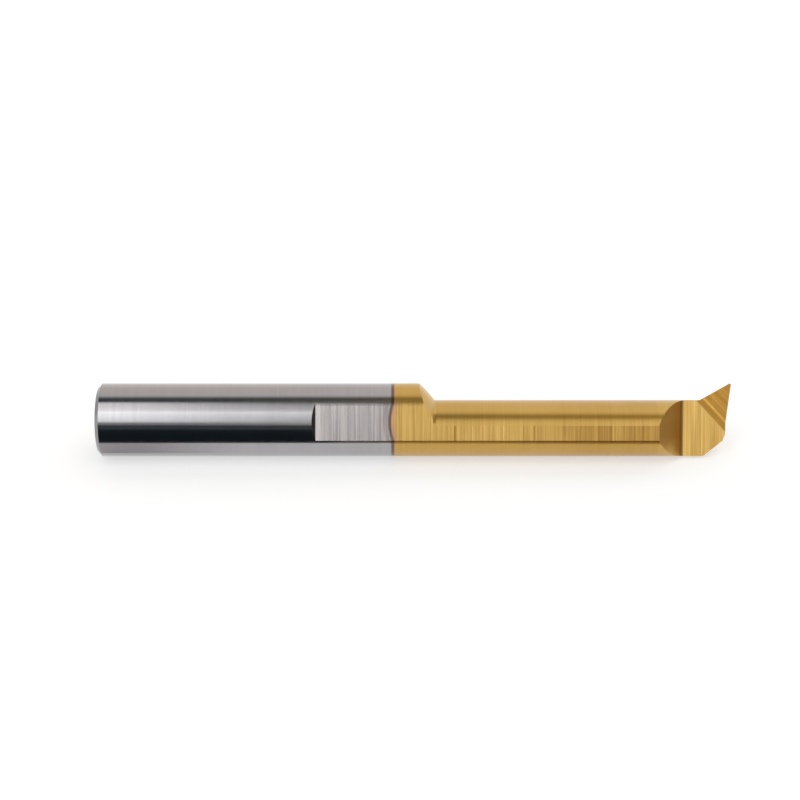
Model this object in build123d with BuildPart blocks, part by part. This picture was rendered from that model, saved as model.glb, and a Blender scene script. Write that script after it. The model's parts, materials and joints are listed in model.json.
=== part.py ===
"""Solid carbide mini boring bar, lying as it comes to rest. Millimetres, +Z up, +X towards the cutting tip."""

import os
from math import cos, radians, sin

from build123d import *

# ---- driving dimensions ----
# a point of the ground face is given as distance from the tail and height above the axis, towards the tip

# the rod that the whole bar is ground from
overall_length = 52.0
shank_diameter = 6.0
tail_chamfer = 0.3
front_stock = 1.0  # ground off ahead of the cutting edge
overrun = 1.0  # of the grinding wheels, past the rod

# one face ground along the side: clamping flat, gullet and rake face
flat_start = 17.6  # from the tail
flat_height = 2.58  # from the axis
flat_wall_run = 0.3
gullet_start = 45.8
gullet_root = 48.0
gullet_root_radius = 0.25

# the neck is ground to the shank's own radius about an offset centre
neck_radius = 3.0
neck_drop = 1.4  # away from the cutting tip
neck_setback = 0.22  # away from the ground face
shoulder_foot = 27.6  # from the tail
shoulder_rise = 2.0  # at 45 degrees
shoulder_crown = 0.1  # left by the rounded corner of the wheel
shoulder_root_radius = 0.25

# the horn that carries the cutting tip: its back runs down to the neck and meets it without a step
horn_back = 47.2  # from the tail, inside the neck
horn_base = -0.5
horn_front_stock = 0.5  # ground off above the rake face
horn_relief_facing = 53  # of its back, turned from the cutting side towards the rear
horn_relief_length = 3.5

# the edges of the rake face: where each passes, and the way it faces against the bar's axis
nose_radius = 0.1
nose_height = 2.98
trailing_facing = 119.2
front_facing = -6.2
heel_point = (51.57, -1.2)
heel_facing = -20.9
lower_point = (51.36, -1.75)
lower_facing = -51.8
clearance = 10  # of every flank below its edge

# the chip former, a shallow groove ground across the rake face behind the tip
groove_facing = 43  # from its far wall to the nose, against the bar's axis
groove_run_in = 0.1  # ahead of the nose
groove_width = 2.97  # nose to the top of the far wall
groove_wall = 0.52
groove_depth = 0.2
groove_root_radius = 0.35

# the neck and the ground face leave the weight low and to the back, which rolls the face up as the bar rests
resting_roll = 24.1

# ---- datum planes ----

shank_radius = shank_diameter / 2
rod_length = overall_length + front_stock
beside_rod = shank_radius + overrun
ahead_of_rod = rod_length + overrun
roll = radians(resting_roll)

# the ground face's datum: x from the tail, y towards the cutting tip, z out of the face
face = Plane(
    origin=(-overall_length / 2, 0, shank_radius),
    x_dir=(1, 0, 0),
    z_dir=(0, -cos(roll), sin(roll)),
)
lengthwise = Plane(origin=face.origin, x_dir=face.x_dir, z_dir=-face.y_dir)


def in_face(point, depth=0):
    """A point of the ground face's datum, or one that far below it."""
    return face.from_local_coords(Vector(*point, -depth))


def facing(angle):
    """Direction in the ground face, by its angle to the bar's axis."""
    return face.x_dir * cos(radians(angle)) + face.y_dir * sin(radians(angle))


def flank(edge_point, edge_facing):
    """Plane of the flank below a straight edge of the rake face, leaning in by the clearance."""
    lean = radians(clearance)
    return Plane(origin=edge_point, z_dir=facing(edge_facing) * cos(lean) - face.z_dir * sin(lean))


neck_axis = Plane(origin=in_face((0, -neck_drop), neck_setback), x_dir=face.x_dir, z_dir=face.z_dir)
horn_section = Plane(origin=in_face((horn_back, 0)), x_dir=face.y_dir, z_dir=face.x_dir)

nose_centre = in_face((overall_length - nose_radius, nose_height - nose_radius))
trailing_flank = flank(nose_centre + facing(trailing_facing) * nose_radius, trailing_facing)
front_flank = flank(nose_centre + facing(front_facing) * nose_radius, front_facing)
heel_flank = flank(in_face(heel_point), heel_facing)
lower_flank = flank(in_face(lower_point), lower_facing)

groove_across = facing(groove_facing)
groove_plane = Plane(
    origin=nose_centre + groove_across * (nose_radius + groove_run_in),
    x_dir=-groove_across,
    z_dir=face.z_dir.cross(groove_across),
)

# ---- what the grinding wheels take away ----

with BuildPart() as neck_grind:
    with BuildSketch(neck_axis) as ring:
        with BuildLine():
            shoulder_head = (shoulder_foot - shoulder_rise, neck_radius + shoulder_rise)
            SagittaArc(shoulder_head, (shoulder_foot, neck_radius), shoulder_crown)
            Polyline(
                (shoulder_foot, neck_radius),
                (ahead_of_rod, neck_radius),
                (ahead_of_rod, neck_radius + shoulder_rise),
                shoulder_head,
            )
        make_face()
        fillet(ring.vertices().sort_by_distance((shoulder_foot, neck_radius))[0], shoulder_root_radius)
    revolve(axis=Axis(neck_axis.origin, neck_axis.x_dir))

with BuildPart() as face_grind:
    with BuildSketch(lengthwise) as face_profile:
        with BuildLine():
            Polyline(
                (flat_start, beside_rod),
                (flat_start, shank_radius),
                (flat_start + flat_wall_run, flat_height),
                (gullet_start, flat_height),
                (gullet_root, 0),
                (ahead_of_rod, 0),
                (ahead_of_rod, beside_rod),
                close=True,
            )
        make_face()
        fillet(face_profile.vertices().sort_by_distance((gullet_root, 0))[0], gullet_root_radius)
    extrude(amount=beside_rod, both=True)

with BuildPart() as groove_grind:
    groove_top = groove_run_in + groove_width
    groove_foot = (groove_top - groove_wall, -groove_depth)
    with BuildSketch(groove_plane) as groove_profile:
        with BuildLine():
            Polyline(
                (0, 0),
                groove_foot,
                (groove_top, 0),
                (groove_top, groove_depth),
                (0, groove_depth),
                close=True,
            )
        make_face()
        fillet(groove_profile.vertices().sort_by_distance(groove_foot)[0], groove_root_radius)
    extrude(amount=beside_rod, both=True)

# ---- the horn, cut off along its trailing flank ----

with BuildPart() as horn:
    neck_centre = Vector(-neck_drop, -neck_setback)
    relief_foot = neck_centre + Vector(neck_radius, 0).rotate(Axis.Z, -horn_relief_facing)
    with BuildSketch(horn_section):
        with BuildLine():
            relief = PolarLine(relief_foot, horn_relief_length, 90 - horn_relief_facing)
            Polyline(
                relief @ 1,
                ((relief @ 1).X, horn_front_stock),
                (horn_base, horn_front_stock),
                (horn_base, relief_foot.Y),
                relief @ 0,
            )
        make_face()
    extrude(amount=rod_length - horn_back)
    split(bisect_by=trailing_flank, keep=Keep.BOTTOM)

# ---- the bar ----

with BuildPart() as boring_bar:
    with BuildSketch(Plane(origin=face.origin, z_dir=face.x_dir)):
        Circle(shank_radius)
    extrude(amount=rod_length)
    chamfer(boring_bar.faces().sort_by(Axis.X)[0].edges(), tail_chamfer)
    add(neck_grind.part, mode=Mode.SUBTRACT)
    add(horn.part)
    add(face_grind.part, mode=Mode.SUBTRACT)
    for ground_flank in (front_flank, heel_flank, lower_flank):
        split(bisect_by=ground_flank, keep=Keep.BOTTOM)
    behind_tip = in_face((overall_length, nose_height), depth=2 * nose_radius)
    fillet(boring_bar.edges().sort_by_distance(behind_tip)[0], nose_radius)
    add(groove_grind.part, mode=Mode.SUBTRACT)

os.makedirs("parts", exist_ok=True)
boring_bar.part.label = "boring_bar"
export_step(boring_bar.part, "parts/boring_bar.step")
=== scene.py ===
# %% [markdown]
# # A ground carbide boring bar
#
# A boring bar turns the inside of a hole on a lathe. This one is a single rod of solid
# carbide, ground to shape: a round shank with a clamping flat, a thinner neck, a gullet for
# the chips and a small hooked cutting head. The rear half is bare grey carbide and the front
# half carries a thin gold coating.
#
# The shape comes from the CAD model, which is loaded first and never moved. The work here is
# the finish: how ground carbide and its coating take the light.

# %% Load the CAD model
import json
import math

import bpy
from mathutils import Matrix, Vector

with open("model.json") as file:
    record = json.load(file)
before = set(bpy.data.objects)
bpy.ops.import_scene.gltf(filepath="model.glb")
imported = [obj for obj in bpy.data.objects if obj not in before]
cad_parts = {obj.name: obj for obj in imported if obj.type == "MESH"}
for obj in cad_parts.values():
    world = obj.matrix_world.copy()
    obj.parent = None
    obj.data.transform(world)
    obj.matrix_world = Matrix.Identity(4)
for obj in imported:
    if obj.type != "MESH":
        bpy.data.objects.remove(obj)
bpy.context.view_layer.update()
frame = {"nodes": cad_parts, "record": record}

bar = frame["nodes"]["boring_bar"]

# %% [markdown]
# ## Where things are on the bar
#
# A toolmaker measures a bar from its tail and from the face that is ground along its side. The
# record's mounts give both: the tail end, and the clamping flat with its outward direction. Every
# finish below is placed with them, so that it stays in place if the bar is ever turned.

# %% Directions of the ground face
mm = 0.001
mounts = {mount["name"]: mount for mount in frame["record"]["mounts"]}
tail_centre = Vector(mounts["tail_end"]["pos_m"])
out_of_face = Vector(mounts["clamping_flat"]["axis"]).normalized()
shank_radius = mounts["shank"]["dims"]["r_mm"] * mm
face_roll = math.atan2(out_of_face.z, -out_of_face.y)
print("the ground face is rolled up", round(math.degrees(face_roll), 1), "degrees")

# %% [markdown]
# ## Small tools for building materials
#
# A procedural material is a graph of nodes. Wiring each one by hand takes four or five lines, so
# a few helpers make a node, set or link its inputs and hand back its output. They read like
# formulas afterwards, which makes a long material easier to follow.

# %% Helpers for numbers
def wire(tree, value, socket):
    """Link an output to a socket, or set the socket to a plain value."""
    if isinstance(value, bpy.types.NodeSocket):
        tree.links.new(value, socket)
    else:
        socket.default_value = value


def maths(tree, operation, *values, clamp=False):
    """One Math node, such as ADD or MULTIPLY."""
    node = tree.nodes.new("ShaderNodeMath")
    node.operation = operation
    node.use_clamp = clamp
    for value, socket in zip(values, node.inputs):
        wire(tree, value, socket)
    return node.outputs[0]


def rise(tree, value, start, end):
    """0 where value is under start, 1 where it is over end, and eased between."""
    node = tree.nodes.new("ShaderNodeMapRange")
    node.interpolation_type = "SMOOTHSTEP"
    wire(tree, value, node.inputs["Value"])
    wire(tree, start, node.inputs["From Min"])
    wire(tree, end, node.inputs["From Max"])
    return node.outputs["Result"]


def band(tree, value, start, end, soft):
    """1 where value lies from start to end, 0 outside, and eased over soft at both ends."""
    up = rise(tree, value, start - soft, start)
    down = rise(tree, value, end, end + soft)
    return maths(tree, "SUBTRACT", up, down, clamp=True)


# %% Helpers for colours
def tint(tree, factor, plain, tinted):
    """A colour part of the way from plain to tinted."""
    node = tree.nodes.new("ShaderNodeMix")
    node.data_type = "RGBA"
    wire(tree, factor, node.inputs[0])
    wire(tree, plain, node.inputs[6])
    wire(tree, tinted, node.inputs[7])
    return node.outputs[2]


def vector_maths(tree, operation, first, second):
    """One Vector Math node, such as ADD or MULTIPLY, for vectors and colours."""
    node = tree.nodes.new("ShaderNodeVectorMath")
    node.operation = operation
    wire(tree, first, node.inputs[0])
    wire(tree, second, node.inputs[1])
    return node.outputs[0]


def shade(tree, colour, amount):
    """A colour made lighter or darker by a factor."""
    node = tree.nodes.new("ShaderNodeVectorMath")
    node.operation = "SCALE"
    wire(tree, colour, node.inputs[0])
    wire(tree, amount, node.inputs["Scale"])
    return node.outputs[0]


def darken(tree, colour, mask, amount):
    """A colour made darker by amount where the mask is 1."""
    return shade(tree, colour, maths(tree, "MULTIPLY_ADD", mask, -amount, 1.0))


# %% [markdown]
# ## Coordinates of the ground face
#
# The node's own coordinates are metres in the shared frame. A Mapping node turns them into
# millimetres from the tail and across the face, so that a mark can be placed where a maker would
# measure it. An unwrapped UV map could do this too, but it would have to be made again after each
# change of shape. The rotation is about the bar's axis only.
#
# Which surface is which comes from its normal: the more squarely it looks out of the ground face,
# the nearer the mask is to 1.

# %% Face coordinates
def face_coordinates(tree):
    """Millimetres from the tail and across the face, and the place as a vector."""
    place = tree.nodes.new("ShaderNodeTexCoord")
    turn = tree.nodes.new("ShaderNodeMapping")
    roll = face_roll - math.pi / 2
    to_face = Matrix.Rotation(roll, 3, "X")
    turn.inputs["Scale"].default_value = (1 / mm, 1 / mm, 1 / mm)
    turn.inputs["Rotation"].default_value = (roll, 0, 0)
    turn.inputs["Location"].default_value = to_face @ (-tail_centre / mm)
    tree.links.new(place.outputs["Object"], turn.inputs["Vector"])
    parts = tree.nodes.new("ShaderNodeSeparateXYZ")
    tree.links.new(turn.outputs["Vector"], parts.inputs["Vector"])
    return parts.outputs["X"], parts.outputs["Y"], turn.outputs["Vector"]


def facing_out(tree):
    """How squarely the surface looks out of the ground face: 1 on the flat and the rake face."""
    place = tree.nodes.new("ShaderNodeTexCoord")
    dot = tree.nodes.new("ShaderNodeVectorMath")
    dot.operation = "DOT_PRODUCT"
    tree.links.new(place.outputs["Normal"], dot.inputs[0])
    dot.inputs[1].default_value = out_of_face
    return dot.outputs["Value"]


# %% [markdown]
# ## Where the coating begins
#
# The rod stood in a holder while its front half was coated, so the coating begins at a line round
# the bar. On the flat the line bows back by a quarter of a millimetre, because the holder stood
# off the bar there and vapour crept in. All colours near the line are placed by the distance past
# it, which carries the bow along with them.

# %% The edge of the coating
coating_start = 24.15
setback_on_flat = 0.25
half_face_width = 1.5
coating_fade = (-0.05, 0.20)


def past_coating_edge(tree, u, v, flat):
    """Millimetres past the line where the coating begins, for u from the tail and v across."""
    across = maths(tree, "MULTIPLY", v, 1 / half_face_width)
    bow = maths(tree, "SUBTRACT", 1.0, maths(tree, "MULTIPLY", across, across), clamp=True)
    setback = maths(tree, "MULTIPLY", flat, bow)
    from_line = maths(tree, "SUBTRACT", u, coating_start)
    return maths(tree, "MULTIPLY_ADD", setback, setback_on_flat, from_line)


# %% [markdown]
# ## Two metals
#
# Both halves are metal to the eye, so their colour is the colour of the reflection. Bare carbide
# is a neutral grey mirror, a little darker on the flat towards the coating. The coating is titanium
# nitride, a warm gold. On the flat it deepens towards the gullet, with one paler stretch on the
# way, and on the round it hardly changes.
#
# Painted textures could show this as well. Masks that rise between two distances are sharper, need
# no image and can be changed by a number.

# %% Bare carbide
carbide_round = (0.42, 0.41, 0.42, 1)
carbide_face = (0.62, 0.57, 0.555, 1)
carbide_near_gold = (0.535, 0.49, 0.48, 1)
flat_darkening = (19.0, 22.5)


def carbide_colour(tree, u, flat):
    """Grey carbide, on the round and on the flat."""
    on_flat = tint(tree, rise(tree, u, *flat_darkening), carbide_face, carbide_near_gold)
    return tint(tree, flat, carbide_round, on_flat)


# %% Gold coating
gold_round = (0.575, 0.365, 0.102, 1)
gold_face = (0.67, 0.425, 0.125, 1)
gold_deep = (0.46, 0.262, 0.067, 1)
deepening = (33.5, 42.2)
deep_on_round = 0.3
pale_again = (41.92, 42.06)
deep_again = (42.3, 43.7)
pale_share = 0.5
gullet_begins = (45.6, 46.0)


def gold_colour(tree, u, flat):
    """The gold of the coating, deeper towards the gullet."""
    pale = maths(tree, "SUBTRACT", rise(tree, u, *pale_again), rise(tree, u, *deep_again))
    deep = maths(tree, "MULTIPLY_ADD", pale, -pale_share, rise(tree, u, *deepening))
    deep = maths(tree, "SUBTRACT", deep, rise(tree, u, *gullet_begins), clamp=True)
    on_round = tint(tree, maths(tree, "MULTIPLY", deep, deep_on_round), gold_round, gold_deep)
    return tint(tree, flat, on_round, tint(tree, deep, gold_face, gold_deep))


# %% [markdown]
# ## The heat line
#
# Where the coating stopped, heat left its colours: a faint brown fringe on the bare flat, a brown
# line all round the bar and a pink that runs out into the gold. They are laid over the two metals
# as thin bands, each with its own softness.
#
# The small chamfer round the tail is painted a little darker, a painted shade for its darker
# reflection.

# %% Colours along the bar
heat_brown = (0.12, 0.05, 0.035, 1)
heat_line = (-0.02, 0.06)
heat_line_soft = 0.17
heat_line_share = 0.8
fringe_place = (-0.45, -0.25)
fringe_soft = 0.15
fringe_share = 0.2
heat_pink = (0.59, 0.35, 0.19, 1)
pink_begins = 0.05
pink_ends_on_round = 0.35
pink_wider_on_flat = 0.45
tail_chamfer = (0.28, 0.36)
# painted shade: the tail chamfer is made a quarter darker
chamfer_painted_shade = 0.25


def bar_colour(tree, u, v, flat):
    """The colour along the bar, and how far the coating has taken over."""
    past = past_coating_edge(tree, u, v, flat)
    coated = rise(tree, past, *coating_fade)
    pink_ends = maths(tree, "MULTIPLY_ADD", flat, pink_wider_on_flat, pink_ends_on_round)
    pink_to_gold = rise(tree, past, pink_begins, pink_ends)
    gold = tint(tree, pink_to_gold, heat_pink, gold_colour(tree, u, flat))
    colour = tint(tree, coated, carbide_colour(tree, u, flat), gold)
    fringe = maths(tree, "MULTIPLY", band(tree, past, *fringe_place, fringe_soft), flat)
    colour = tint(tree, maths(tree, "MULTIPLY", fringe, fringe_share), colour, heat_brown)
    line = band(tree, past, *heat_line, heat_line_soft)
    colour = tint(tree, maths(tree, "MULTIPLY", line, heat_line_share), colour, heat_brown)
    chamfer = maths(tree, "SUBTRACT", 1.0, rise(tree, u, *tail_chamfer))
    return darken(tree, colour, chamfer, chamfer_painted_shade), coated


# %% [markdown]
# ## Painted shade at edges and corners
#
# Four marks of painted shade sit at the ends of the cuts. The small wall where the flat begins is
# painted almost black, a painted shade for the dark it reflects. The corner between shoulder and
# neck is painted darker, and so is the root of the gullet, both as painted shade. Along the upper
# edge of the flat a painted dark reflection fades in before the edge is reached.
#
# Each painted mark is a mask built from two distances and the facing. The facing keeps it off the
# bar's other side, where the same distances occur again.

# %% The wall of the flat
edge_soft = 0.08
wall_place = (17.3, 17.95)
wall_facing = (0.45, 0.75)
wall_facing_soft = 0.1
wall_reach = (1.65, 1.55)
# painted shade: the wall where the flat begins is made almost black
wall_painted_shade = (0.07, 0.06, 0.065, 1)


def wall_shade_mask(tree, u, v, facing):
    """1 on the small wall where the flat begins, which is painted in shade."""
    here = band(tree, u, *wall_place, edge_soft)
    steep = band(tree, facing, *wall_facing, wall_facing_soft)
    inside = rise(tree, maths(tree, "ABSOLUTE", v), *wall_reach)
    return maths(tree, "MULTIPLY", here, maths(tree, "MULTIPLY", steep, inside))


# %% The corner under the shoulder
corner_along = (27.50, 27.66)
corner_across = (0.05, 0.5)
corner_soft = 0.25
corner_facing = (0.0, 0.3)
# painted shade: the corner between shoulder and neck is made a dark brown
corner_painted_shade = (0.30, 0.17, 0.035, 1)


def corner_shade_mask(tree, u, v, facing):
    """1 on the painted shade in the corner between shoulder and neck."""
    along = band(tree, u, *corner_along, edge_soft)
    across = band(tree, v, *corner_across, corner_soft)
    here = maths(tree, "MULTIPLY", along, across)
    return maths(tree, "MULTIPLY", here, rise(tree, facing, *corner_facing))


# %% The painted dark edge and the painted shade at the gullet's root
painted_edge_band = (1.2, 1.6)
painted_edge_end = (26.9, 26.4)
# painted dark reflection along the upper edge of the flat
painted_edge_on_carbide = 0.65
painted_edge_on_gold = 0.43
root_place = (47.85, 48.05)
root_soft = 0.12
root_facing = (0.2, 0.4)
# painted shade along the root of the gullet
root_painted_shade = 0.35


def painted_edge_mask(tree, u, v, flat):
    """1 along the upper edge of the flat, as far as the shoulder, where a dark reflection is
    painted.
    """
    here = maths(tree, "MULTIPLY", rise(tree, v, *painted_edge_band), rise(tree, u, *painted_edge_end))
    return maths(tree, "MULTIPLY", here, flat)


def root_shade_mask(tree, u, facing):
    """1 along the root of the gullet, where shade is painted."""
    along = band(tree, u, *root_place, root_soft)
    return maths(tree, "MULTIPLY", along, rise(tree, facing, *root_facing))


# %% All four together
def with_edges(tree, colour, u, v, facing, flat, coated):
    """The colour with the painted shade at edges and corners laid over it."""
    colour = tint(tree, wall_shade_mask(tree, u, v, facing), colour, wall_painted_shade)
    colour = tint(tree, corner_shade_mask(tree, u, v, facing), colour, corner_painted_shade)
    less_on_gold = painted_edge_on_carbide - painted_edge_on_gold
    painted_edge_depth = maths(tree, "MULTIPLY_ADD", coated, less_on_gold, -painted_edge_on_carbide)
    painted_edge_shade = maths(tree, "MULTIPLY_ADD", painted_edge_mask(tree, u, v, flat), painted_edge_depth, 1.0)
    colour = shade(tree, colour, painted_edge_shade)
    return darken(tree, colour, root_shade_mask(tree, u, facing), root_painted_shade)


# %% [markdown]
# ## The chip former
#
# A small wheel was run slantwise across the rake face behind the tip. It left a shallow groove
# that curls the chips, with its own slanting lines. The coating in it is painted a deeper orange, a
# painted shade for the darker light that the groove's slope reflects. The groove is in the CAD
# model. Here a mask finds it by measuring back from the nose, square to the groove, and the
# coordinates of the grinding marks are turned inside it.

# %% Chip former
nose_place = (51.9, 2.88)
groove_facing = math.radians(43)
groove_width = 2.87
groove_soft = 0.04
on_rake_face = (0.80, 0.88)
# painted shade: the coating in the groove is made a deeper orange
groove_painted_shade = (0.93, 0.80, 0.57, 1)
unchanged = (1, 1, 1, 1)


def behind_nose(tree, u, v):
    """Millimetres from the nose back across the groove."""
    back = maths(tree, "SUBTRACT", nose_place[0], u)
    along = maths(tree, "MULTIPLY", back, math.cos(groove_facing))
    down = maths(tree, "SUBTRACT", nose_place[1], v)
    return maths(tree, "MULTIPLY_ADD", down, math.sin(groove_facing), along)


def chip_former(tree, u, v, facing):
    """1 in the groove behind the nose and 0 elsewhere."""
    edge = (groove_width + groove_soft, groove_width - groove_soft)
    near = rise(tree, behind_nose(tree, u, v), *edge)
    return maths(tree, "MULTIPLY", near, rise(tree, facing, *on_rake_face))


def turned_in_groove(tree, place, groove):
    """The coordinates for the grinding marks, turned by the groove's slant inside it."""
    turn = tree.nodes.new("ShaderNodeVectorRotate")
    turn.rotation_type = "Z_AXIS"
    tree.links.new(place, turn.inputs["Vector"])
    turn.inputs["Angle"].default_value = -groove_facing
    choose = tree.nodes.new("ShaderNodeMix")
    choose.data_type = "VECTOR"
    tree.links.new(groove, choose.inputs[0])
    tree.links.new(place, choose.inputs[4])
    tree.links.new(turn.outputs[0], choose.inputs[5])
    return choose.outputs[1]


# %% [markdown]
# ## Grinding marks
#
# A wheel leaves fine lines. On this bar they run round the bar or straight across the face,
# because the wheel crosses it there, so the pattern changes along the bar and hardly at all the
# other way. Noise that is squeezed along one axis gives just that. Wave textures would be too
# regular. Four sizes are used: hair lines, lines that can be counted, broad bands and faint
# clouds. Each is given as its spacing along the bar and its length across, in millimetres.

# %% Noise drawn out into lines
hair_lines = (0.06, 6.0)
fine_lines = (0.16, 9.0)
broad_bands = (0.7, 12.0)
soft_clouds = (4.0, 2.0)


def grinding_lines(tree, place, spacing, stretch, detail=3.0):
    """Noise drawn out into lines across the bar, spacing apart and stretch long."""
    squeeze = (1 / spacing, 1 / stretch, 1 / stretch)
    noise = tree.nodes.new("ShaderNodeTexNoise")
    noise.inputs["Scale"].default_value = 1.0
    noise.inputs["Detail"].default_value = detail
    noise.inputs["Roughness"].default_value = 0.6
    squeezed = vector_maths(tree, "MULTIPLY", place, squeeze)
    tree.links.new(squeezed, noise.inputs["Vector"])
    return noise.outputs["Fac"]


# %% [markdown]
# ## Marks that stand alone
#
# A pale strip where the flat begins is a painted highlight beside the dark wall. The other marks
# were left where the wheel was dressed or stopped for a moment: two dark scores and a pale one
# further along, and pale stripes across the rake face.
# Each is listed by its distance from the tail, half its width and how much lighter or darker it
# is, so that it can be moved or taken out by itself.

# %% Single marks on the ground face
marks_and_highlight_on_face = [
    # the first row is a painted highlight where the flat begins; the rest are grinding marks
    (18.15, 0.24, 0.22),
    (29.2, 0.07, -0.30),
    (35.65, 0.08, -0.40),
    (42.05, 0.06, 0.12),
    (48.25, 0.09, 0.18),
    (49.0, 0.07, 0.12),
    (49.65, 0.07, 0.14),
    (50.56, 0.07, 0.10),
]
mark_fades_out = 1.6
mark_is_full = 0.4


def single_marks_and_highlight(tree, u):
    """The sum of the single marks and the painted highlight, at u millimetres from the tail."""
    total = 0.0
    for distance, half_width, strength in marks_and_highlight_on_face:
        off = maths(tree, "ABSOLUTE", maths(tree, "SUBTRACT", u, distance))
        mark = rise(tree, off, half_width * mark_fades_out, half_width * mark_is_full)
        total = maths(tree, "MULTIPLY_ADD", mark, strength, total)
    return total


# %% [markdown]
# ## How strongly the marks show
#
# The flat was left as the coarse wheel made it, so its lines show most. The round was polished
# afterwards and they are faint there, apart from the gold beside the flat. On gold a dark line is
# also warmer, because light bounces more than once in a scratch and takes up colour each time.

# %% Lightness of the marks
line_share = 1.3
band_share = 0.5
cloud_share = 0.12
middle_of_noise = 0.5
marks_on_face = 0.85
marks_beside_face = 0.30
marks_everywhere = 0.10
beside_face = (0.70, 0.90)
line_grey = (1.0, 1.02, 1.0, 1)
line_gold = (0.87, 1.05, 1.4, 1)


def marks_strength(tree, facing, flat, coated):
    """How strongly the marks show, by kind of surface."""
    beside = maths(tree, "MULTIPLY", coated, rise(tree, facing, *beside_face))
    beside = maths(tree, "MULTIPLY", beside, marks_beside_face)
    strongest = maths(tree, "MAXIMUM", beside, maths(tree, "MULTIPLY", flat, marks_on_face))
    return maths(tree, "ADD", strongest, marks_everywhere)


def marks_lightness(tree, marks, clouds, strength, alone):
    """How much lighter or darker the marks make the surface."""
    middle = (line_share + band_share) * middle_of_noise
    change = maths(tree, "MULTIPLY", maths(tree, "SUBTRACT", marks, middle), strength)
    cloudy = maths(tree, "SUBTRACT", clouds, middle_of_noise)
    change = maths(tree, "MULTIPLY_ADD", cloudy, cloud_share, change)
    return maths(tree, "ADD", alone, change)


def with_marks(tree, colour, change, coated):
    """The colour with its marks: on the gold a dark line is warmer as well as darker."""
    cast = shade(tree, tint(tree, coated, line_grey, line_gold), change)
    factors = vector_maths(tree, "ADD", cast, unchanged[:3])
    return vector_maths(tree, "MULTIPLY", colour, factors)


# %% [markdown]
# ## How polished it is
#
# Roughness says how far a reflection is spread. The bare round is brightest, the coating is duller
# and the flat is duller again, with hair lines that vary it a little. The tail's end was sawn and
# only deburred, so it is much duller. Anisotropic reflection stretches highlights along the bar,
# across the grinding lines, as brushed metal does. It needs a tangent that runs round the bar. A
# bump far smaller than a hair lets the countable lines catch the light.

# %% Roughness, stretch and bump
rough_carbide = 0.15
rough_more_on_gold = 0.10
rough_more_on_flat = 0.04
rough_more_in_hairs = 0.08
rough_more_on_end = 0.25
tail_end_face = (0.03, 0.01)
anisotropy = 0.5
quarter_turn = 0.25
bump_depth = 0.002 * mm


def roughness(tree, u, flat, coated, hair):
    """How far the surface spreads a reflection."""
    rough = maths(tree, "MULTIPLY_ADD", coated, rough_more_on_gold, rough_carbide)
    rough = maths(tree, "MULTIPLY_ADD", flat, rough_more_on_flat, rough)
    rough = maths(tree, "MULTIPLY_ADD", hair, rough_more_in_hairs, rough)
    on_end = rise(tree, u, *tail_end_face)
    return maths(tree, "MULTIPLY_ADD", on_end, rough_more_on_end, rough)


def stretched_along(tree, shader):
    """Highlights stretched along the bar."""
    shader.inputs["Anisotropic"].default_value = anisotropy
    shader.inputs["Anisotropic Rotation"].default_value = quarter_turn
    tangent = tree.nodes.new("ShaderNodeTangent")
    tangent.direction_type = "RADIAL"
    tangent.axis = "X"
    tree.links.new(tangent.outputs["Tangent"], shader.inputs["Tangent"])


def scratched(tree, shader, marks):
    """A very shallow bump along the marks."""
    bump = tree.nodes.new("ShaderNodeBump")
    bump.inputs["Distance"].default_value = bump_depth
    tree.links.new(marks, bump.inputs["Height"])
    tree.links.new(bump.outputs["Normal"], shader.inputs["Normal"])


# %% [markdown]
# ## One material for the whole bar
#
# The bar is one piece, so one material carries both finishes, and masks say which is where. Two
# materials with their faces sorted by hand would also do, but the coating's line runs across the
# flat and the round without following any edge of the mesh.

# %% The bar's material
face_facing = (0.985, 0.998)
face_begins = (17.6, 17.75)


def ground_carbide():
    """Bare carbide behind, gold coating in front, with grinding marks."""
    finish = bpy.data.materials.new("ground_carbide")
    finish.use_nodes = True
    tree = finish.node_tree
    shader = tree.nodes["Principled BSDF"]
    u, v, place = face_coordinates(tree)
    facing = facing_out(tree)
    square_on = rise(tree, facing, *face_facing)
    flat = maths(tree, "MULTIPLY", square_on, rise(tree, u, *face_begins))
    colour, coated = bar_colour(tree, u, v, flat)
    colour = with_edges(tree, colour, u, v, facing, flat, coated)
    groove = chip_former(tree, u, v, facing)
    colour = vector_maths(tree, "MULTIPLY", colour, tint(tree, groove, unchanged, groove_painted_shade))

    place = turned_in_groove(tree, place, groove)
    hair = grinding_lines(tree, place, *hair_lines)
    lines = grinding_lines(tree, place, *fine_lines)
    bands = grinding_lines(tree, place, *broad_bands, detail=1.0)
    clouds = grinding_lines(tree, place, *soft_clouds, detail=2.0)
    banded = maths(tree, "MULTIPLY", bands, band_share)
    marks = maths(tree, "MULTIPLY_ADD", lines, line_share, banded)
    strength = marks_strength(tree, facing, flat, coated)
    alone = maths(tree, "MULTIPLY", single_marks_and_highlight(tree, u), flat)
    change = marks_lightness(tree, marks, clouds, strength, alone)
    tree.links.new(with_marks(tree, colour, change, coated), shader.inputs["Base Color"])

    tree.links.new(roughness(tree, u, flat, coated, hair), shader.inputs["Roughness"])
    shader.inputs["Metallic"].default_value = 1.0
    stretched_along(tree, shader)
    scratched(tree, shader, marks)
    return finish


bar.data.materials[0] = ground_carbide()
print("the bar's finish has", len(bar.data.materials[0].node_tree.nodes), "nodes")

# %% [markdown]
# ## The floor
#
# The bar lies on a plain pale table. The floor is matt, so it takes a soft shadow, and a little
# of its own light is added for the camera and for reflections, so that it reads as white paper
# both behind the bar and in the metal. Brighter lamps would whiten it too, but they would also
# wash out the bar.

# %% Floor
floor_reach = 1.5
floor_colour = (0.6, 0.6, 0.6, 1)
paper_glow = 0.5


def flat_sheet(name, corners):
    """A four-cornered sheet, as a mesh object."""
    mesh = bpy.data.meshes.new(name)
    mesh.from_pydata([Vector(corner) for corner in corners], [], [(0, 1, 2, 3)])
    sheet = bpy.data.objects.new(name, mesh)
    bpy.context.scene.collection.objects.link(sheet)
    return sheet


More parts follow.
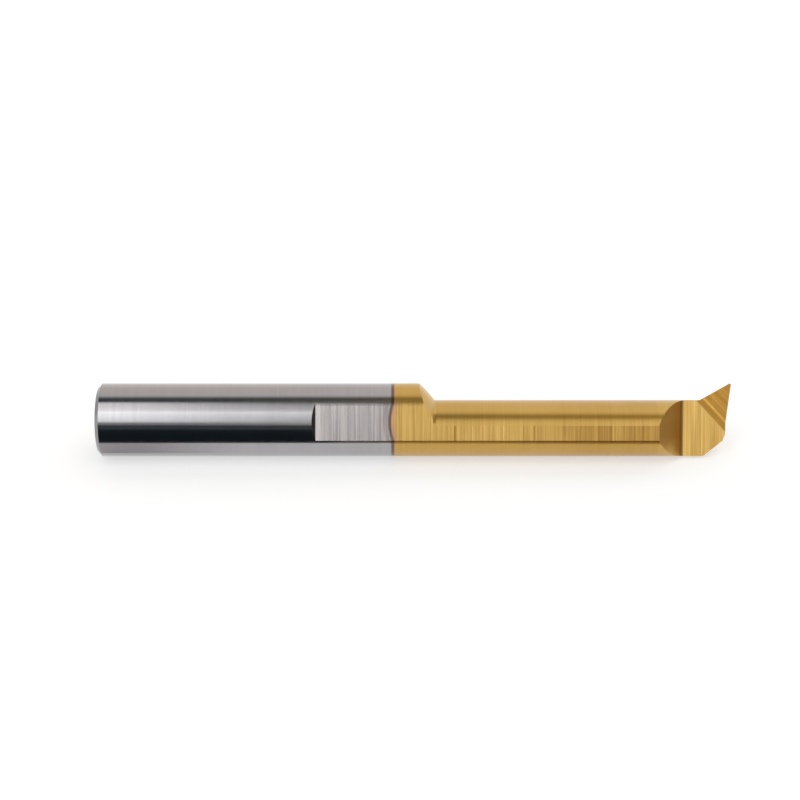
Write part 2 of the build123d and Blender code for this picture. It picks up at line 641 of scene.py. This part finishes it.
def paper():
    """Matt white, with a glow that the camera and reflections see."""
    finish = bpy.data.materials.new("white_paper")
    finish.use_nodes = True
    tree = finish.node_tree
    tree.nodes.clear()
    matt_white = tree.nodes.new("ShaderNodeBsdfDiffuse")
    matt_white.inputs["Color"].default_value = floor_colour
    glow = tree.nodes.new("ShaderNodeEmission")
    rays = tree.nodes.new("ShaderNodeLightPath")
    seen = maths(tree, "ADD", rays.outputs["Is Camera Ray"], rays.outputs["Is Glossy Ray"])
    seen = maths(tree, "ADD", seen, rays.outputs["Is Transmission Ray"], clamp=True)
    tree.links.new(maths(tree, "MULTIPLY", seen, paper_glow), glow.inputs["Strength"])
    both = tree.nodes.new("ShaderNodeAddShader")
    tree.links.new(matt_white.outputs[0], both.inputs[0])
    tree.links.new(glow.outputs[0], both.inputs[1])
    output = tree.nodes.new("ShaderNodeOutputMaterial")
    tree.links.new(both.outputs[0], output.inputs["Surface"])
    return finish


floor = flat_sheet("floor", [
    (-floor_reach, -floor_reach, 0),
    (floor_reach, -floor_reach, 0),
    (floor_reach, floor_reach, 0),
    (-floor_reach, floor_reach, 0),
])
floor.data.materials.append(paper())
print("the floor is", 2 * floor_reach, "m wide")

# %% [markdown]
# ## Light for polished metal
#
# Metal shows its surroundings, so lighting it means building something for it to reflect. Round
# metal turns a plan of light and dark, seen in section across the bar, into stripes along it. The
# world here is that plan: a pale room with a narrow dark gap overhead. Angles are measured in
# degrees up from the horizon in front of the bar, over the top and down to the horizon behind.
# Each row gives the angle, how light the room is there and the cast of its light.
#
# The room isn't the same at both ends. On the tail's side it is cooler and dark low in front.

# %% The room on the tail's side
plain = (1.0, 1.0, 1.0)
cool = (0.96, 1.0, 1.04)
warm = (1.08, 0.98, 0.92)
deep_blue = (0.7, 1.0, 1.6)
room_on_the_left = [
    (0, 0.35, cool),
    (13, 0.33, cool),
    (21, 0.38, cool),
    (29, 0.56, cool),
    (33, 0.72, cool),
    (40, 0.92, cool),
    (46, 0.98, plain),
    (51, 1.00, plain),
    (55, 0.86, plain),
    (59, 0.64, plain),
    (66, 0.47, plain),
    (73, 0.34, plain),
    (80, 0.15, plain),
    (87, 0.03, deep_blue),
    (91, 0.04, deep_blue),
    (98, 0.04, deep_blue),
    (105, 0.45, plain),
    (109, 0.80, plain),
    (118, 0.78, warm),
    (145, 0.83, warm),
    (165, 0.90, warm),
    (180, 1.00, plain),
]

# %% [markdown]
# ## The other side of the room
#
# On the tip's side the room is evenly bright, and the light in the gap is amber, which keeps the
# dark line along the gold neck a rich brown. In a neutral gap gold would turn greenish.

# %% The room on the tip's side
amber = (1.30, 1.0, 0.20)
room_on_the_right = [
    (0, 0.85, plain),
    (9, 1.00, plain),
    (16, 1.30, plain),
    (50, 1.32, plain),
    (62, 1.25, plain),
    (69, 1.36, plain),
    (80, 1.38, plain),
    (85, 1.12, plain),
    (89, 0.62, amber),
    (92, 0.34, amber),
    (99, 0.32, amber),
    (103, 0.60, amber),
    (107, 1.06, plain),
    (114, 1.16, plain),
    (136, 1.06, plain),
    (150, 1.02, plain),
    (180, 1.00, plain),
]

# %% [markdown]
# ## From plans to a world
#
# A colour ramp holds each plan, and the direction's angle runs along it. The two are joined near
# the middle of the bar, a little further right in the gap, so that the blue reaches the coating.
# At the far left the room is plain pale grey, which the tail's end face shows. At the far right
# the amber goes, because bare carbide would show it from behind, and the light high in front
# falls off, which keeps the hollows of the cutting head dark enough to read.
#
# An image of a studio would light the bar too, but not one of its stripes could be moved alone.

# %% Colour ramps
full_turn = 360


def as_turn(degrees):
    """An angle in degrees as a place on the ramp: 0.5 is the horizon in front of the bar."""
    return degrees / full_turn + 0.5


def room_ramp(tree, turn, plan):
    """The plan of light and dark as a colour ramp, read at turn."""
    ramp = tree.nodes.new("ShaderNodeValToRGB")
    tree.links.new(turn, ramp.inputs["Fac"])
    stops = ramp.color_ramp.elements
    while len(stops) < len(plan):
        stops.new(0.5)
    for stop, (degrees, light, cast) in zip(stops, plan):
        stop.position = as_turn(degrees)
    for stop, (degrees, light, cast) in zip(stops, plan):
        stop.color = (*(light * part for part in cast), 1)
    return ramp.outputs["Color"]


# %% Directions in the room
world = bpy.data.worlds.new("studio")
bpy.context.scene.world = world
world.use_nodes = True
tree = world.node_tree
direction = tree.nodes.new("ShaderNodeTexCoord")
parts = tree.nodes.new("ShaderNodeSeparateXYZ")
tree.links.new(direction.outputs["Generated"], parts.inputs["Vector"])
towards_tip = parts.outputs["X"]
towards_front = maths(tree, "MULTIPLY", parts.outputs["Y"], -1.0)
angle = maths(tree, "ARCTAN2", parts.outputs["Z"], towards_front)
turn = maths(tree, "MULTIPLY_ADD", angle, 1 / math.tau, 0.5)

# %% Left and right joined
amber_ends = (0.30, 0.45)
cross_over = (0.02, 0.05)
cross_in_gap = (0.035, 0.065)
gap_degrees = (84, 103)
gap_soft = 0.008

left = room_ramp(tree, turn, room_on_the_left)
right = room_ramp(tree, turn, room_on_the_right)
grey = tree.nodes.new("ShaderNodeRGBToBW")
tree.links.new(right, grey.inputs["Color"])
right = tint(tree, rise(tree, towards_tip, *amber_ends), right, grey.outputs["Val"])
in_gap = band(tree, turn, *map(as_turn, gap_degrees), gap_soft)
across_rest = rise(tree, towards_tip, *cross_over)
across_gap = rise(tree, towards_tip, *cross_in_gap)
room = tint(tree, tint(tree, in_gap, across_rest, across_gap), left, right)

# %% Both ends of the room
left_end = (0.55, 0.90)
left_pale = (0.75, 0.75, 0.75, 1)
dim_to_the_right = (0.40, 0.70)
dim_in_front = (-0.1, 0.3)
dim_amount = 0.6

far_left = rise(tree, maths(tree, "MULTIPLY", towards_tip, -1.0), *left_end)
room = tint(tree, far_left, room, left_pale)
far_right = rise(tree, towards_tip, *dim_to_the_right)
dim = maths(tree, "MULTIPLY", far_right, rise(tree, towards_front, *dim_in_front))
background = tree.nodes["Background"]
tree.links.new(room, background.inputs["Color"])
strength = maths(tree, "MULTIPLY_ADD", dim, -dim_amount, 1.0)
tree.links.new(strength, background.inputs["Strength"])
print("the room has", len(room_on_the_left) + len(room_on_the_right), "stops of light")

# %% [markdown]
# ## Softboxes
#
# Two softboxes stand high in front: a long one, and a taller one off the tail, whose reflection is
# the bright end of the stripe along the shank. Their power follows from their size, so that a
# brightness of 1 looks white in a mirror whatever the lamp measures.

# %% Softboxes
def softbox(name, elevation, sideways, distance, size, brightness):
    """A rectangular lamp that looks at the bar. brightness 1 shows as white in a mirror."""
    data = bpy.data.lights.new(name, "AREA")
    data.shape = "RECTANGLE"
    data.size, data.size_y = size
    data.energy = brightness * math.pi * size[0] * size[1]
    lamp = bpy.data.objects.new(name, data)
    height = math.radians(elevation)
    lamp.location = (sideways, -distance * math.cos(height), distance * math.sin(height))
    aim = Vector((sideways, 0, shank_radius)) - lamp.location
    lamp.rotation_euler = aim.to_track_quat("-Z", "Y").to_euler()
    bpy.context.scene.collection.objects.link(lamp)
    print("the", name, "gives", round(data.energy, 3), "W")


softbox("long_softbox", elevation=51, sideways=-0.18, distance=0.5,
        size=(0.36, 0.07), brightness=0.22)
softbox("tail_softbox", elevation=52.5, sideways=-0.19, distance=0.5,
        size=(0.224, 0.62), brightness=1.42)

# %% [markdown]
# ## Cards beside the metal
#
# Photographers lay dark cards beside bright metal, so that it has a dark edge to stand against the
# white. A black one lies in front of the bar and is brown towards the tip. A grey one past the tip
# shades the gullet, and a pale one lies close by the tail and softens the underside there. They
# are seen only by reflections: they cast no shadow and the camera doesn't see them.

# %% How a card is made
def reflector(name, strips, paint):
    """A sheet that only reflections see, through rows of two points; paint gives its shader."""
    mesh = bpy.data.meshes.new(name)
    corners = [Vector(point) for pair in strips for point in pair]
    faces = [(2 * i, 2 * i + 2, 2 * i + 3, 2 * i + 1) for i in range(len(strips) - 1)]
    mesh.from_pydata(corners, [], faces)
    card = bpy.data.objects.new(name, mesh)
    bpy.context.scene.collection.objects.link(card)
    finish = bpy.data.materials.new(name)
    finish.use_nodes = True
    tree = finish.node_tree
    tree.nodes.clear()
    place = tree.nodes.new("ShaderNodeTexCoord")
    parts = tree.nodes.new("ShaderNodeSeparateXYZ")
    tree.links.new(place.outputs["Object"], parts.inputs["Vector"])
    output = tree.nodes.new("ShaderNodeOutputMaterial")
    shader = paint(tree, parts.outputs["X"], parts.outputs["Y"])
    tree.links.new(shader, output.inputs["Surface"])
    card.data.materials.append(finish)
    card.visible_camera = False
    card.visible_diffuse = False
    card.visible_transmission = False
    card.visible_shadow = False
    print("the", name, "has", len(faces), "strips")


def matt(tree, colour):
    """A matt shader of one colour."""
    shader = tree.nodes.new("ShaderNodeBsdfDiffuse")
    wire(tree, colour, shader.inputs["Color"])
    return shader.outputs[0]


# %% [markdown]
# ## Placing the cards
#
# The front card's near edge decides where the dark line under the flat falls, and its slope how
# far up the black stripe along the shank reaches. Both change a little along the bar. Each row of
# its plan is the place along the bar and the distance in front of it, in millimetres, and the
# slope in degrees. A faint paler strip along the card splits the black stripe.

# %% The card in front
card_lift = 0.1 * mm
card_far = 150 * mm
front_plan = [
    (-300, 4.8, 12.5),
    (-20, 4.8, 12.5),
    (2, 4.8, 11.0),
    (25, 4.4, 9.3),
    (300, 4.4, 9.0),
]
card_black = (0.012, 0.020, 0.026, 1)
card_teal = (0.075, 0.10, 0.12, 1)
card_dusk = (0.22, 0.17, 0.14, 1)
card_brown = (0.30, 0.17, 0.03, 1)
teal_strip = (20, 30)
teal_soft = 4
dusk_side = (-7.5 * mm, -5.5 * mm)
brown_side = (-4 * mm, 0 * mm)


def front_paint(tree, x, y):
    """Black, brown towards the tip, with one faint paler strip along it."""
    out = maths(tree, "MULTIPLY", y, -1 / mm)
    strip = band(tree, out, *teal_strip, teal_soft)
    black = tint(tree, strip, card_black, card_teal)
    black = tint(tree, rise(tree, x, *dusk_side), black, card_dusk)
    return matt(tree, tint(tree, rise(tree, x, *brown_side), black, card_brown))


front_strips = []
for along, near, slope in front_plan:
    height = card_far * math.tan(math.radians(slope))
    front_strips.append(((along * mm, -near * mm, card_lift), (along * mm, -card_far, height)))
reflector("front_card", front_strips, front_paint)

# %% The cards at both ends
end_near_x, end_far_x = 28 * mm, 110 * mm
end_front_y, end_back_y = -60 * mm, 12 * mm
end_height = 28 * mm
end_grey = (0.54, 0.46, 0.40, 1)
tail_start_x, tail_stop_x = -45 * mm, -12 * mm
tail_back_y, tail_front_y = -2.1 * mm, -4.8 * mm
tail_fade = (-25 * mm, -13 * mm)
tail_pale = (0.88, 0.83, 0.85, 1)


def end_paint(tree, x, y):
    """Plain grey, a little warm."""
    return matt(tree, end_grey)


def tail_paint(tree, x, y):
    """Pale, and thinning out to nothing towards the middle of the bar."""
    gone = tree.nodes.new("ShaderNodeBsdfTransparent")
    blend = tree.nodes.new("ShaderNodeMixShader")
    wire(tree, rise(tree, x, *tail_fade), blend.inputs[0])
    tree.links.new(matt(tree, tail_pale), blend.inputs[1])
    tree.links.new(gone.outputs[0], blend.inputs[2])
    return blend.outputs[0]


reflector("end_card", [
    ((end_near_x, y, card_lift), (end_far_x, y, end_height)) for y in (end_front_y, end_back_y)
], end_paint)
reflector("tail_card", [
    ((x, tail_back_y, card_lift), (x, tail_front_y, card_lift)) for x in (tail_start_x, tail_stop_x)
], tail_paint)

# %% [markdown]
# ## The camera
#
# The camera looks almost squarely at the ground face, a little from above and from close by, which
# is how small tools are usually shown. It is level with the bar, so the bar lies straight across
# the picture. The Standard view transform keeps white paper white.

# %% Camera
view_elevation = face_roll + math.radians(3.5)
view_distance = 157 * mm
view_centre_x = -1.24 * mm
aim_above_axis = 1.62 * mm

camera_data = bpy.data.cameras.new("camera")
camera_data.sensor_width = 36
camera_data.lens = 85.7
camera_data.clip_start = 1 * mm
camera = bpy.data.objects.new("camera", camera_data)
bpy.context.scene.collection.objects.link(camera)
back = Vector((0, -math.cos(view_elevation), math.sin(view_elevation)))
up = Vector((0, math.sin(view_elevation), math.cos(view_elevation)))
aim = Vector((view_centre_x, 0, shank_radius)) + up * aim_above_axis
camera.location = aim + back * view_distance
camera.rotation_euler = (-back).to_track_quat("-Z", "Y").to_euler()
bpy.context.scene.camera = camera
bpy.context.scene.view_settings.view_transform = "Standard"
print("the camera stands", round(view_distance / mm), "mm from the bar")
